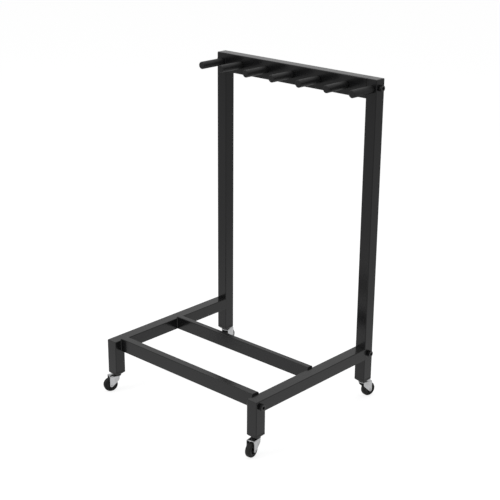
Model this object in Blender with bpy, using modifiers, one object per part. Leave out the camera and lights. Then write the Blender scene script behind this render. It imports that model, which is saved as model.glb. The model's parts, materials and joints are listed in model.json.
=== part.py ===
"""A rolling storage cart of square steel tube, with a row of pegs on its top crossbar and four casters.

Metres, +Z up. The origin is on the floor, midway between the side frames and between front and rear.
The front of the cart, to which the pegs point, faces -Y.
"""

import math

import bmesh
import bpy
from mathutils import Matrix, Vector

# Clearances
FIT = 0.0003  # between pieces that touch
BOLT_TIP_ROOM = 0.002  # beyond a bolt's tip in its hole
BLOCK_ROOM = 0.0045  # between a front block and the caster's socket under it

# Tube frame
FRAME_WIDTH = 0.436
FRAME_DEPTH = 0.368
SIDE_TUBE = 0.026  # square tube of the legs, uprights and side rails
TUBE_WALL = 0.0012
TUBE_CORNER = 0.0016
LEG_LENGTH = 0.0721
UPRIGHT_LENGTH = 0.6506
CROSSBAR_HEIGHT = 0.041
CROSSBAR_DEPTH = 0.026

# Rails across the base
CROSS_RAIL_HEIGHT = 0.0295
CROSS_RAIL_RISE = 0.0042  # how far they stand above the side rails
FRONT_RAIL_DEPTH = 0.017
FRONT_RAIL_SETBACK = 0.016
MIDDLE_RAIL_DEPTH = 0.0125
MIDDLE_RAIL_SETBACK = 0.1839
RAIL_PLUG_LENGTH = 0.012

# Pegs. The first and the last stand on the uprights, closer to their neighbours than the others.
PEG_COUNT = 7
PEG_DIAMETER = 0.016
PEG_LENGTH = 0.0625
PEG_EDGE = 0.0018
FIRST_PEG_GAP = 0.0565  # from middle to middle
LAST_PEG_GAP = 0.0645
PEG_STUD_DIAMETER = 0.007
PEG_STUD_REACH = 0.006  # behind the face that carries the peg

# Bolts and what they hold
BOLT_DIAMETER = 0.008
BOLT_HEAD_DIAMETER = 0.013
BOLT_HEAD_HEIGHT = 0.0065
BOLT_HEAD_EDGE = 0.0008
KEY_ACROSS_FLATS = 0.006
KEY_DEPTH = 0.0035
CROSSBAR_BOLT_REACH = 0.016  # in the insert
CROSSBAR_BOLT_RISE = 0.0025  # above the crossbar's middle
BLOCK_BOLT_REACH = 0.013  # in the block
INSERT_LENGTH = 0.026
BLOCK_ARM = 0.034  # in the side rail, from the middle of the leg or from the upright's front face
TONGUE = 0.016
BLOCK_EDGE = 0.001

# Casters
WHEEL_DIAMETER = 0.031
WHEEL_WIDTH = 0.013
TYRE_DEPTH = 0.0045  # from the tread to the bore
TYRE_SHOULDER = 0.0038
HUB_RIM_INSET = 0.00075  # from each side of the tyre
HUB_RIM_WALL = 0.0022
HUB_WEB = 0.005
HUB_BOSS_DIAMETER = 0.008
AXLE_DIAMETER = 0.004
AXLE_HEAD_DIAMETER = 0.0062
AXLE_HEAD_HEIGHT = 0.0011
CASTER_TRAIL = 0.0155
WHEEL_SIDE_CLEARANCE = 0.0007  # between the tyre and each side plate
FORK_PLATE = 0.0012
FORK_BEND = 0.0018
FORK_LEAD = 0.0085  # how far the crown reaches in front of the stem
FORK_LIP = 0.003  # depth of the side plates at the front of the crown
FORK_BOSS_RADIUS = 0.0036
CROWN_CORNER = 0.006
CROWN_CLEARANCE = 0.0035  # between the wheel and the crown over it
BEARING_DIAMETER = 0.0155
BEARING_HEIGHT = 0.0025
COLLAR_DIAMETER = 0.013
COLLAR_HEIGHT = 0.0048
STEM_DIAMETER = 0.008
STEM_LENGTH = 0.02  # in the leg
STEM_CHAMFER = 0.001
RIVET_DIAMETER = 0.0115
RIVET_HEIGHT = 0.0013
SOCKET_LENGTH = 0.026  # in the tube
SOCKET_RIM = 0.0032  # height of the rim under the tube's end
SOCKET_RIM_EDGE = 0.001
# Which way each caster trails, in degrees from +X
SWIVELS = {"front_left": -114, "front_right": -81, "rear_right": 76, "rear_left": 99}

# Smoothness of the turned shapes
TYRE_SEGMENTS = 28
PEG_SEGMENTS = 18
ROUND_SEGMENTS = 16
PIN_SEGMENTS = 12

# Worked out from the sizes above
AXLE_HEIGHT = WHEEL_DIAMETER / 2
CROWN_UNDERSIDE = WHEEL_DIAMETER + CROWN_CLEARANCE
CROWN_TOP = CROWN_UNDERSIDE + FORK_PLATE
BEARING_TOP = CROWN_TOP + FIT + BEARING_HEIGHT
COLLAR_TOP = BEARING_TOP + FIT + COLLAR_HEIGHT
FOOT_BOTTOM = COLLAR_TOP + FIT
LEG_BOTTOM = FOOT_BOTTOM + SOCKET_RIM + FIT
BASE_TOP = LEG_BOTTOM + LEG_LENGTH
CART_TOP = LEG_BOTTOM + UPRIGHT_LENGTH
FRONT = -FRAME_DEPTH / 2
REAR = FRAME_DEPTH / 2
UPRIGHT_FRONT = REAR - SIDE_TUBE
SIDE_X = (FRAME_WIDTH - SIDE_TUBE) / 2
INNER_WIDTH = FRAME_WIDTH - 2 * SIDE_TUBE
LEG_Y = FRONT + SIDE_TUBE / 2
UPRIGHT_Y = REAR - SIDE_TUBE / 2
JOINT_Z = BASE_TOP - SIDE_TUBE / 2
CROSSBAR_Y = UPRIGHT_FRONT + CROSSBAR_DEPTH / 2
CROSSBAR_Z = CART_TOP - CROSSBAR_HEIGHT / 2
CROSSBAR_BOLT_Z = CROSSBAR_Z + CROSSBAR_BOLT_RISE
CROSS_RAIL_Z = BASE_TOP + CROSS_RAIL_RISE - CROSS_RAIL_HEIGHT / 2
TUBE_BORE = SIDE_TUBE - 2 * TUBE_WALL
PLUG_SIZE = TUBE_BORE - 2 * FIT
HUB_DIAMETER = WHEEL_DIAMETER - 2 * (TYRE_DEPTH + FIT)
FORK_GAP = WHEEL_WIDTH + 2 * WHEEL_SIDE_CLEARANCE
FORK_WIDTH = FORK_GAP + 2 * FORK_PLATE
FORK_TAIL = CASTER_TRAIL + FORK_BOSS_RADIUS
SIDES = {"left": -1, "right": 1}
MARGIN = 0.005  # how far a cutter runs past what it cuts

for old in list(bpy.data.objects):
    bpy.data.objects.remove(old)

PARTS = bpy.data.collections.new("storage_cart")
CUTTERS = bpy.data.collections.new("storage_cart_cutters")
bpy.context.scene.collection.children.link(PARTS)
bpy.context.scene.collection.children.link(CUTTERS)

# Turns that lay a piece made along +Z along another axis
ALONG_X = Matrix.Rotation(math.radians(90), 4, "Y")
ALONG_MINUS_X = Matrix.Rotation(math.radians(-90), 4, "Y")
ALONG_Y = Matrix.Rotation(math.radians(-90), 4, "X")
ALONG_MINUS_Y = Matrix.Rotation(math.radians(90), 4, "X")


def material(name, colour, roughness, metallic=0.0):
    finish = bpy.data.materials.new(name)
    finish.use_nodes = True
    shader = finish.node_tree.nodes["Principled BSDF"]
    shader.inputs["Base Color"].default_value = (*colour, 1.0)
    shader.inputs["Roughness"].default_value = roughness
    shader.inputs["Metallic"].default_value = metallic
    finish.diffuse_color = (*colour, 1.0)
    return finish


POWDER_COAT = material("black_powder_coat", (0.012, 0.012, 0.013), 0.3)
PEG_PLASTIC = material("black_peg_plastic", (0.014, 0.014, 0.015), 0.28)
BOLT_STEEL = material("black_oxide_steel", (0.02, 0.02, 0.021), 0.45, 0.6)
PLUG_PLASTIC = material("black_plug_plastic", (0.02, 0.02, 0.02), 0.55)
BLOCK_STEEL = material("plain_steel", (0.45, 0.45, 0.46), 0.4, 1.0)
ZINC = material("zinc_plate", (0.72, 0.72, 0.72), 0.25, 1.0)
HUB_PLASTIC = material("black_hub_plastic", (0.02, 0.02, 0.02), 0.4)
TYRE_RUBBER = material("black_tyre_rubber", (0.015, 0.015, 0.015), 0.6)


def at(x, y, z):
    return Matrix.Translation((x, y, z))


def part(name, mesh, finish, matrix=None, parent=None):
    piece = bpy.data.objects.new(name, mesh)
    if not mesh.materials:
        mesh.materials.append(finish)
    piece.parent = parent
    if matrix is not None:
        piece.matrix_basis = matrix
    PARTS.objects.link(piece)
    return piece


def cutter(name, mesh, matrix):
    tool = bpy.data.objects.new(name, mesh)
    tool.matrix_basis = matrix
    tool.display_type = "WIRE"
    tool.hide_render = True
    CUTTERS.objects.link(tool)
    return tool


def combine(piece, other, operation="DIFFERENCE"):
    step = piece.modifiers.new(f"{operation.lower()} {other.name}", "BOOLEAN")
    step.operation = operation
    step.solver = "EXACT"
    step.object = other


def shaded(mesh):
    mesh.shade_smooth()
    mesh.set_sharp_from_angle(angle=math.radians(35))
    return mesh


def applied(piece, *tools):
    """A piece's mesh as its modifiers leave it. The piece and the tools that it used are removed."""
    bpy.context.view_layer.update()
    graph = bpy.context.evaluated_depsgraph_get()
    mesh = bpy.data.meshes.new_from_object(piece.evaluated_get(graph))
    mesh.name = piece.name
    for old in (piece, *tools):
        bpy.data.objects.remove(old)
    return shaded(mesh)


def runs_along(edge, axis):
    way = edge.verts[1].co - edge.verts[0].co
    return abs(way.normalized()[axis]) > 0.999


def at_height(edge, height):
    return all(abs(vertex.co.z - height) < 0.00001 for vertex in edge.verts)


def block_mesh(name, size, edge=0.0, long_axis=0, segments=1):
    """A box about the origin, whose edges along long_axis are chamfered, or rounded with more segments."""
    mesh = bpy.data.meshes.new(name)
    shape = bmesh.new()
    bmesh.ops.create_cube(shape, size=1.0, matrix=Matrix.Diagonal((*size, 1.0)))
    if edge:
        edges = [e for e in shape.edges if runs_along(e, long_axis)]
        bmesh.ops.bevel(shape, geom=edges, offset=edge, segments=segments, profile=0.5, affect="EDGES")
    shape.to_mesh(mesh)
    shape.free()
    return mesh


def cylinder_mesh(name, diameter, length, segments=ROUND_SEGMENTS):
    """A cylinder along +Z from the origin."""
    mesh = bpy.data.meshes.new(name)
    shape = bmesh.new()
    bmesh.ops.create_cone(
        shape,
        cap_ends=True,
        segments=segments,
        radius1=diameter / 2,
        radius2=diameter / 2,
        depth=length,
        matrix=at(0, 0, length / 2),
    )
    shape.to_mesh(mesh)
    shape.free()
    return mesh


def arc(centre, radius, start, end, steps):
    """Points on an arc from one angle to another, in degrees, both ends included."""
    points = []
    for step in range(steps + 1):
        angle = math.radians(start + (end - start) * step / steps)
        points.append((centre[0] + radius * math.cos(angle), centre[1] + radius * math.sin(angle)))
    return points


def turned_mesh(name, profile, segments):
    """A profile of (radius, height) points turned about Z. One that starts off the axis becomes a ring."""
    mesh = bpy.data.meshes.new(name)
    count = len(profile)
    ring = profile[0][0] > 0
    edges = [(i, (i + 1) % count) for i in range(count if ring else count - 1)]
    mesh.from_pydata([(radius, 0.0, height) for radius, height in profile], edges, [])
    blank = bpy.data.objects.new(name, mesh)
    PARTS.objects.link(blank)
    screw = blank.modifiers.new("turn", "SCREW")
    screw.axis = "Z"
    screw.steps = segments
    screw.render_steps = segments
    screw.use_merge_vertices = True
    screw.merge_threshold = 0.00001
    return applied(blank)


def plate_mesh(name, outline, thickness, matrix):
    """A flat plate, with half its thickness on each side of its outline's plane, laid by a matrix."""
    curve = bpy.data.curves.new(name, "CURVE")
    curve.dimensions = "2D"
    curve.fill_mode = "BOTH"
    curve.extrude = thickness / 2
    spline = curve.splines.new("POLY")
    spline.points.add(len(outline) - 1)
    for point, (x, y) in zip(spline.points, outline):
        point.co = (x, y, 0.0, 1.0)
    spline.use_cyclic_u = True
    blank = bpy.data.objects.new(name, curve)
    PARTS.objects.link(blank)
    mesh = applied(blank)
    shape = bmesh.new()
    shape.from_mesh(mesh)
    bmesh.ops.remove_doubles(shape, verts=shape.verts, dist=0.00001)
    bmesh.ops.transform(shape, matrix=matrix, verts=shape.verts)
    shape.to_mesh(mesh)
    shape.free()
    return mesh


def tube(name, section, length, matrix, open_side=0):
    """A tube along +Z from the origin, open at both ends. With open_side -1 or 1 its far end is closed, and
    the edges round that end are rounded, but for the one on that side in X, where a tube meets it flush."""
    mesh = bpy.data.meshes.new(name)
    shape = bmesh.new()
    box = at(0, 0, length / 2) @ Matrix.Diagonal((*section, length, 1.0))
    bmesh.ops.create_cube(shape, size=1.0, matrix=box)
    ends = [f for f in shape.faces if f.normal.z < -0.5 or (f.normal.z > 0.5 and not open_side)]
    bmesh.ops.delete(shape, geom=ends, context="FACES_ONLY")
    rounded = [e for e in shape.edges if runs_along(e, 2)]
    if open_side:
        rim = [e for e in shape.edges if at_height(e, length)]
        rounded += [e for e in rim if runs_along(e, 0) or e.verts[0].co.x * open_side < 0]
    bmesh.ops.bevel(shape, geom=rounded, offset=TUBE_CORNER, segments=3, profile=0.5, affect="EDGES")
    shape.to_mesh(mesh)
    shape.free()
    piece = part(name, shaded(mesh), POWDER_COAT, matrix)
    wall = piece.modifiers.new("wall", "SOLIDIFY")
    wall.thickness = TUBE_WALL
    wall.offset = -1
    wall.use_even_offset = True
    return piece


def mitre_cutter(side, keep):
    """Cuts the leg (keep -1) or the side rail (keep 1) along the mitre of a front corner."""
    size = 4 * SIDE_TUBE
    across = Vector((0, 1, 1)).normalized()
    middle = Vector((SIDES[side] * SIDE_X, LEG_Y, JOINT_Z)) - keep * across * (size - FIT) / 2
    piece = "leg" if keep < 0 else "rail"
    turn = Matrix.Rotation(math.radians(-45), 4, "X")
    return cutter(f"{side}_{piece}_mitre", block_mesh("mitre", (size, size, size)), at(*middle) @ turn)


# Side frames. The front leg and the side rail are mitred where they meet. The rail's rear end is coped round
# the upright's rounded corners, so that the side faces run on.
legs = {}
side_rails = {}
uprights = {}
copes = {}
for side, sign in SIDES.items():
    square = (SIDE_TUBE, SIDE_TUBE)
    legs[side] = tube(f"{side}_front_leg", square, LEG_LENGTH, at(sign * SIDE_X, LEG_Y, LEG_BOTTOM))
    combine(legs[side], mitre_cutter(side, -1))

    rail_length = FRAME_DEPTH - SIDE_TUBE + TUBE_CORNER
    rail_front = at(sign * SIDE_X, FRONT, JOINT_Z) @ ALONG_Y
    side_rails[side] = tube(f"{side}_side_rail", square, rail_length, rail_front)
    combine(side_rails[side], mitre_cutter(side, 1))

    foot = at(sign * SIDE_X, UPRIGHT_Y, LEG_BOTTOM)
    uprights[side] = tube(f"{side}_upright", square, UPRIGHT_LENGTH, foot, -sign)

    around = (SIDE_TUBE + 2 * FIT, SIDE_TUBE + 2 * FIT, UPRIGHT_LENGTH + 2 * MARGIN)
    mesh = block_mesh("cope", around, TUBE_CORNER + FIT, 2, 3)
    copes[side] = cutter(f"{side}_cope", mesh, foot @ at(0, 0, UPRIGHT_LENGTH / 2))
    combine(side_rails[side], copes[side])

# Rails across the base: open rectangular tubes, welded to the side frames, with a plug in each end.
inside = 2 * (TUBE_WALL + FIT)
for name, setback, depth in (
    ("front_rail", FRONT_RAIL_SETBACK, FRONT_RAIL_DEPTH),
    ("middle_rail", MIDDLE_RAIL_SETBACK, MIDDLE_RAIL_DEPTH),
):
    length = INNER_WIDTH - 2 * FIT
    y = FRONT + setback + depth / 2
    tube(name, (CROSS_RAIL_HEIGHT, depth), length, at(-length / 2, y, CROSS_RAIL_Z) @ ALONG_X)
    size = (RAIL_PLUG_LENGTH, depth - inside, CROSS_RAIL_HEIGHT - inside)
    plug = block_mesh("rail_plug", size, BLOCK_EDGE)
    for side, sign in SIDES.items():
        x = sign * (length - RAIL_PLUG_LENGTH) / 2
        part(f"{name}_{side}_plug", plug, PLUG_PLASTIC, at(x, y, CROSS_RAIL_Z))

# The crossbar fits between the uprights, with both ends coped round their corners.
length = INNER_WIDTH + 2 * TUBE_CORNER
section = (CROSSBAR_HEIGHT, CROSSBAR_DEPTH)
crossbar = tube("top_crossbar", section, length, at(-length / 2, CROSSBAR_Y, CROSSBAR_Z) @ ALONG_X)
for cope in copes.values():
    combine(crossbar, cope)

# Inserts in the crossbar's ends, which the upper bolts screw into.
inserts = {}
size = (INSERT_LENGTH, CROSSBAR_DEPTH - inside, CROSSBAR_HEIGHT - inside)
mesh = block_mesh("crossbar_insert", size, BLOCK_EDGE)
for side, sign in SIDES.items():
    x = sign * (INNER_WIDTH / 2 - FIT - INSERT_LENGTH / 2)
    inserts[side] = part(f"{side}_crossbar_insert", mesh, BLOCK_STEEL, at(x, CROSSBAR_Y, CROSSBAR_Z))


def front_block_mesh():
    """A right-angled block for a front corner, with one arm down the leg and one along the side rail."""
    half = PLUG_SIZE / 2
    leg_arm = LEG_LENGTH - SIDE_TUBE / 2 - SOCKET_LENGTH - BLOCK_ROOM
    outline = [(-half, half), (-half, -leg_arm), (half, -leg_arm)]
    outline += [(half, -half), (BLOCK_ARM, -half), (BLOCK_ARM, half)]
    side_plane = Matrix(((0, 0, 1, 0), (1, 0, 0, 0), (0, 1, 0, 0), (0, 0, 0, 1)))
    mesh = plate_mesh("front_block", outline, PLUG_SIZE, side_plane)
    shape = bmesh.new()
    shape.from_mesh(mesh)
    outer = [e for e in shape.edges if e.calc_face_angle_signed() > math.radians(45)]
    bmesh.ops.bevel(shape, geom=outer, offset=BLOCK_EDGE, segments=1, profile=0.5, affect="EDGES")
    shape.to_mesh(mesh)
    shape.free()
    return mesh


def rear_block_mesh():
    """A block for a side rail's rear end, with a tongue that reaches into the upright."""
    front = -SIDE_TUBE / 2 - BLOCK_ARM
    shoulder = -SIDE_TUBE / 2 - FIT
    tip = TUBE_BORE / 2 - FIT
    size = (PLUG_SIZE, shoulder - front, PLUG_SIZE)
    body = part("rear_block", block_mesh("rear_block", size, BLOCK_EDGE, 1), BLOCK_STEEL)
    tongue = block_mesh("tongue", (TONGUE, tip - shoulder + MARGIN, TONGUE))
    tool = cutter("tongue", tongue, at(0, (tip - MARGIN - front) / 2, 0))
    combine(body, tool, "UNION")
    mesh = applied(body, tool)
    mesh.transform(at(0, (front + shoulder) / 2, 0))
    return mesh


def bolt_hole(name, side, y, z, depth):
    """A round cutter for a bolt, to a depth below the side frame's outer face."""
    length = MARGIN + depth + BOLT_TIP_ROOM
    inward = ALONG_MINUS_X if SIDES[side] > 0 else ALONG_X
    start = SIDES[side] * (FRAME_WIDTH / 2 + MARGIN)
    mesh = cylinder_mesh(name, BOLT_DIAMETER + 2 * FIT, length)
    return cutter(name, mesh, at(start, y, z) @ inward)


def bolt_mesh(name, depth):
    """A socket head bolt: its head stands above the XY plane and its shank reaches to a depth below."""
    head = BOLT_HEAD_DIAMETER / 2
    shank = BOLT_DIAMETER / 2
    top = FIT + BOLT_HEAD_HEIGHT
    profile = [(0, top)]
    profile += arc((head - BOLT_HEAD_EDGE, top - BOLT_HEAD_EDGE), BOLT_HEAD_EDGE, 90, 0, 2)
    profile += [(head, FIT), (shank, FIT), (shank, -depth), (0, -depth)]
    blank = part(name, turned_mesh(name, profile, ROUND_SEGMENTS), BOLT_STEEL)
    across_corners = KEY_ACROSS_FLATS / math.cos(math.radians(30))
    key = cylinder_mesh("key", across_corners, KEY_DEPTH + MARGIN, 6)
    tool = cutter("key", key, at(0, 0, top - KEY_DEPTH))
    combine(blank, tool)
    return applied(blank, tool)


# The bolted joints of the side frames. The upper bolts pass both walls of the upright.
block_depth = TUBE_WALL + FIT + BLOCK_BOLT_REACH
insert_depth = SIDE_TUBE + FIT + CROSSBAR_BOLT_REACH
block_bolt = bolt_mesh("block_bolt", block_depth)
insert_bolt = bolt_mesh("insert_bolt", insert_depth)
front_block = front_block_mesh()
rear_block = rear_block_mesh()
for side, sign in SIDES.items():
    outward = ALONG_X if sign > 0 else ALONG_MINUS_X
    insert = inserts[side]
    front = part(f"{side}_front_block", front_block, BLOCK_STEEL, at(sign * SIDE_X, LEG_Y, JOINT_Z))
    rear = part(f"{side}_rear_block", rear_block, BLOCK_STEEL, at(sign * SIDE_X, UPRIGHT_Y, JOINT_Z))
    window = block_mesh("window", (TONGUE + 2 * FIT, 2 * MARGIN, TONGUE + 2 * FIT))
    combine(uprights[side], cutter(f"{side}_window", window, at(sign * SIDE_X, UPRIGHT_FRONT, JOINT_Z)))
    for name, y, z, mesh, depth, drilled in (
        ("front_bolt", LEG_Y, JOINT_Z, block_bolt, block_depth, (legs[side], side_rails[side], front)),
        ("rear_bolt", UPRIGHT_Y, JOINT_Z, block_bolt, block_depth, (uprights[side], rear)),
        ("crossbar_bolt", UPRIGHT_Y, CROSSBAR_BOLT_Z, insert_bolt, insert_depth, (uprights[side], insert)),
    ):
        part(f"{side}_{name}", mesh, BOLT_STEEL, at(sign * FRAME_WIDTH / 2, y, z) @ outward)
        hole = bolt_hole(f"{side}_{name}_hole", side, y, z, depth)
        for piece in drilled:
            combine(piece, hole)


def peg_places():
    """X of each peg. The first and last gaps have sizes of their own, and the others share the rest."""
    second = -SIDE_X + FIRST_PEG_GAP
    pitch = (SIDE_X - LAST_PEG_GAP - second) / (PEG_COUNT - 3)
    return [-SIDE_X] + [second + i * pitch for i in range(PEG_COUNT - 2)] + [SIDE_X]


def peg_mesh():
    """A round peg along +Z with a rounded blunt end. Its foot is on the XY plane, and its stud below."""
    radius = PEG_DIAMETER / 2
    stud = PEG_STUD_DIAMETER / 2
    profile = [(0, PEG_LENGTH)]
    profile += arc((radius - PEG_EDGE, PEG_LENGTH - PEG_EDGE), PEG_EDGE, 90, 0, 3)
    profile += [(radius, FIT), (stud, FIT), (stud, -PEG_STUD_REACH), (0, -PEG_STUD_REACH)]
    return turned_mesh("peg", profile, PEG_SEGMENTS)


# Pegs, moulded over a steel stud that screws through the front wall of the crossbar, or of an upright at
# the ends.
peg = peg_mesh()
stud_hole = cylinder_mesh("stud_hole", PEG_STUD_DIAMETER + 2 * FIT, 2 * PEG_STUD_REACH)
for number, x in enumerate(peg_places(), 1):
    place = at(x, UPRIGHT_FRONT, CROSSBAR_Z) @ ALONG_MINUS_Y
    part(f"peg_{number}", peg, PEG_PLASTIC, place)
    carrier = {1: uprights["left"], PEG_COUNT: uprights["right"]}.get(number, crossbar)
    combine(carrier, cutter(f"peg_{number}_hole", stud_hole, place @ at(0, 0, -PEG_STUD_REACH)))


def fork_outline():
    """The fork from the side, trailing towards +X: each side plate narrows from the crown to a round boss at
    the axle, with a slanted leading edge and an upright trailing edge."""
    boss = (CASTER_TRAIL, AXLE_HEIGHT)
    lead = (-FORK_LEAD, CROWN_TOP - FORK_LIP)
    away = math.hypot(lead[0] - boss[0], lead[1] - boss[1])
    bearing = math.degrees(math.atan2(lead[1] - boss[1], lead[0] - boss[0]))
    tangent = bearing + math.degrees(math.acos(FORK_BOSS_RADIUS / away)) - 360
    outline = [(-FORK_LEAD, CROWN_TOP), (FORK_TAIL, CROWN_TOP)]
    return outline + arc(boss, FORK_BOSS_RADIUS, 0, tangent, 9) + [lead]


def fork_mesh():
    """The stamped fork: a crown with a folded side plate on each side of the wheel."""
    side_plane = Matrix(((1, 0, 0, 0), (0, 0, -1, 0), (0, 1, 0, 0), (0, 0, 0, 1)))
    mesh = plate_mesh("fork", fork_outline(), FORK_WIDTH, side_plane)
    shape = bmesh.new()
    shape.from_mesh(mesh)
    bends = [e for e in shape.edges if at_height(e, CROWN_TOP) and runs_along(e, 0)]
    bmesh.ops.bevel(shape, geom=bends, offset=FORK_BEND, segments=3, profile=0.5, affect="EDGES")
    shape.to_mesh(mesh)
    shape.free()
    blank = part("fork", mesh, ZINC)

    corner = (CROWN_CORNER - FORK_LEAD, FORK_WIDTH / 2 - CROWN_CORNER)
    plan = [(FORK_TAIL + MARGIN, -FORK_WIDTH), (FORK_TAIL + MARGIN, FORK_WIDTH), (corner[0], FORK_WIDTH)]
    plan += arc(corner, CROWN_CORNER, 90, 180, 5)
    plan += arc((corner[0], -corner[1]), CROWN_CORNER, 180, 270, 5)
    plan.append((corner[0], -FORK_WIDTH))
    plan_tool = cutter("plan", plate_mesh("plan", plan, 4 * CROWN_TOP, Matrix()), Matrix())
    slot = block_mesh("slot", (4 * FORK_TAIL, FORK_GAP, 2 * CROWN_UNDERSIDE), FORK_BEND - FORK_PLATE, 0, 3)
    slot_tool = cutter("slot", slot, Matrix())
    stem_hole = cylinder_mesh("stem_hole", STEM_DIAMETER + 2 * FIT, 2 * MARGIN)
    stem_tool = cutter("stem_hole", stem_hole, at(0, 0, CROWN_TOP - MARGIN))
    axle_hole = cylinder_mesh("axle_hole", AXLE_DIAMETER + 2 * FIT, 2 * FORK_WIDTH, PIN_SEGMENTS)
    axle_tool = cutter("axle_hole", axle_hole, at(CASTER_TRAIL, -FORK_WIDTH, AXLE_HEIGHT) @ ALONG_Y)
    combine(blank, plan_tool, "INTERSECT")
    for tool in (slot_tool, stem_tool, axle_tool):
        combine(blank, tool)
    return applied(blank, plan_tool, slot_tool, stem_tool, axle_tool)


def mirrored(upper):
    """A profile that is the same above and below the XY plane, from its upper half."""
    return upper + [(radius, -height) for radius, height in reversed(upper)]


def tyre_mesh():
    """The tyre, with its axle along Z."""
    half = WHEEL_WIDTH / 2
    radius = min(TYRE_SHOULDER, TYRE_DEPTH - FIT)
    shoulder = (WHEEL_DIAMETER / 2 - radius, half - radius)
    upper = [(HUB_DIAMETER / 2 + FIT, half)] + arc(shoulder, radius, 90, 0, 3)
    return turned_mesh("tyre", mirrored(upper), TYRE_SEGMENTS)


def hub_mesh():
    """The moulded hub, with its axle along Z: a boss between the side plates, a thin web and a rim."""
    boss = (HUB_BOSS_DIAMETER / 2, FORK_GAP / 2 - FIT)
    rim = (HUB_DIAMETER / 2, WHEEL_WIDTH / 2 - HUB_RIM_INSET)
    bore = AXLE_DIAMETER / 2 + FIT
    inner = rim[0] - HUB_RIM_WALL
    upper = [(bore, boss[1]), boss, (boss[0], HUB_WEB / 2), (inner, HUB_WEB / 2), (inner, rim[1]), rim]
    return turned_mesh("hub", mirrored(upper), ROUND_SEGMENTS)


def axle_mesh():
    """The rivet along Z through both side plates and the hub, with a chamfered head at each end."""
    seat = FORK_WIDTH / 2 + FIT
    end = seat + AXLE_HEAD_HEIGHT
    head = AXLE_HEAD_DIAMETER / 2
    chamfer = AXLE_HEAD_HEIGHT / 2
    upper = [(0, end), (head - chamfer, end), (head, end - chamfer), (head, seat), (AXLE_DIAMETER / 2, seat)]
    return turned_mesh("axle", mirrored(upper), PIN_SEGMENTS)


def stem_mesh():
    """The stem: a chamfered shank in the leg, the collar under the leg and the rivet under the crown."""
    shank = STEM_DIAMETER / 2
    collar = COLLAR_DIAMETER / 2
    rivet = RIVET_DIAMETER / 2
    top = LEG_BOTTOM + STEM_LENGTH
    bottom = BEARING_TOP + FIT
    collar_edge = COLLAR_HEIGHT / 5
    rivet_top = CROWN_UNDERSIDE - FIT
    rivet_bottom = rivet_top - RIVET_HEIGHT
    rivet_edge = RIVET_HEIGHT / 2
    profile = [(0, top), (shank - STEM_CHAMFER, top), (shank, top - STEM_CHAMFER), (shank, COLLAR_TOP)]
    profile += [(collar - collar_edge, COLLAR_TOP), (collar, COLLAR_TOP - collar_edge)]
    profile += [(collar, bottom + collar_edge), (collar - collar_edge, bottom), (shank, bottom)]
    profile += [(shank, rivet_top), (rivet, rivet_top), (rivet, rivet_bottom + rivet_edge)]
    profile += [(rivet - rivet_edge, rivet_bottom), (0, rivet_bottom)]
    return turned_mesh("stem", profile, ROUND_SEGMENTS)


def bearing_mesh():
    """The swivel bearing: a domed ring on the crown, round the stem."""
    bore = STEM_DIAMETER / 2 + FIT
    outer = BEARING_DIAMETER / 2
    slope = BEARING_HEIGHT / 2
    bottom = CROWN_TOP + FIT
    profile = [(bore, BEARING_TOP), (outer - BEARING_HEIGHT, BEARING_TOP)]
    profile += [(outer - slope / 2, BEARING_TOP - slope), (outer, bottom), (bore, bottom)]
    return turned_mesh("bearing", profile, ROUND_SEGMENTS)


def socket_mesh():
    """The moulded foot of a leg or upright, from the XY plane up: a rim as wide as the tube, with its lower
    edges chamfered, and a plug in the tube, bored for the stem."""
    rim = block_mesh("rim", (SIDE_TUBE, SIDE_TUBE, SOCKET_RIM), TUBE_CORNER, 2, 2)
    shape = bmesh.new()
    shape.from_mesh(rim)
    lower = [e for e in shape.edges if at_height(e, -SOCKET_RIM / 2)]
    bmesh.ops.bevel(shape, geom=lower, offset=SOCKET_RIM_EDGE, segments=1, profile=0.5, affect="EDGES")
    bmesh.ops.translate(shape, vec=(0, 0, SOCKET_RIM / 2), verts=shape.verts)
    shape.to_mesh(rim)
    shape.free()
    blank = part("caster_socket", rim, PLUG_PLASTIC)
    height = SOCKET_LENGTH + FIT + SOCKET_RIM / 2
    middle = at(0, 0, (SOCKET_RIM + height) / 2)
    plug = cutter("plug", block_mesh("plug", (PLUG_SIZE, PLUG_SIZE, height), BLOCK_EDGE, 2), middle)
    length = SOCKET_RIM + height + 2 * MARGIN
    bore_mesh = cylinder_mesh("stem_bore", STEM_DIAMETER + 2 * FIT, length, PIN_SEGMENTS)
    bore = cutter("stem_bore", bore_mesh, at(0, 0, -MARGIN))
    combine(blank, plug, "UNION")
    combine(blank, bore)
    return applied(blank, plug, bore)


# Casters. Each turns on an empty at its stem, and its wheel on an empty at its axle. A socket in the foot of
# the leg or upright holds the stem.
swivelling = {"stem": (stem_mesh(), ZINC), "bearing": (bearing_mesh(), ZINC), "fork": (fork_mesh(), ZINC)}
rolling = {"axle": (axle_mesh(), ZINC), "hub": (hub_mesh(), HUB_PLASTIC), "tyre": (tyre_mesh(), TYRE_RUBBER)}
socket = socket_mesh()
for corner, direction in SWIVELS.items():
    end, side = corner.split("_")
    foot = (SIDES[side] * SIDE_X, LEG_Y if end == "front" else UPRIGHT_Y)
    swivel = bpy.data.objects.new(f"{corner}_swivel", None)
    swivel.location = (*foot, 0)
    swivel.rotation_euler.z = math.radians(direction)
    PARTS.objects.link(swivel)
    wheel = bpy.data.objects.new(f"{corner}_wheel", None)
    wheel.location = (CASTER_TRAIL, 0, AXLE_HEIGHT)
    wheel.parent = swivel
    PARTS.objects.link(wheel)
    for kind, (mesh, finish) in swivelling.items():
        part(f"{corner}_{kind}", mesh, finish, parent=swivel)
    for kind, (mesh, finish) in rolling.items():
        part(f"{corner}_{kind}", mesh, finish, ALONG_Y, wheel)
    part(f"{corner}_socket", socket, PLUG_PLASTIC, at(*foot, FOOT_BOTTOM))
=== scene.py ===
import json
import math

import bmesh
import bpy
from mathutils import Matrix, Vector


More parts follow.
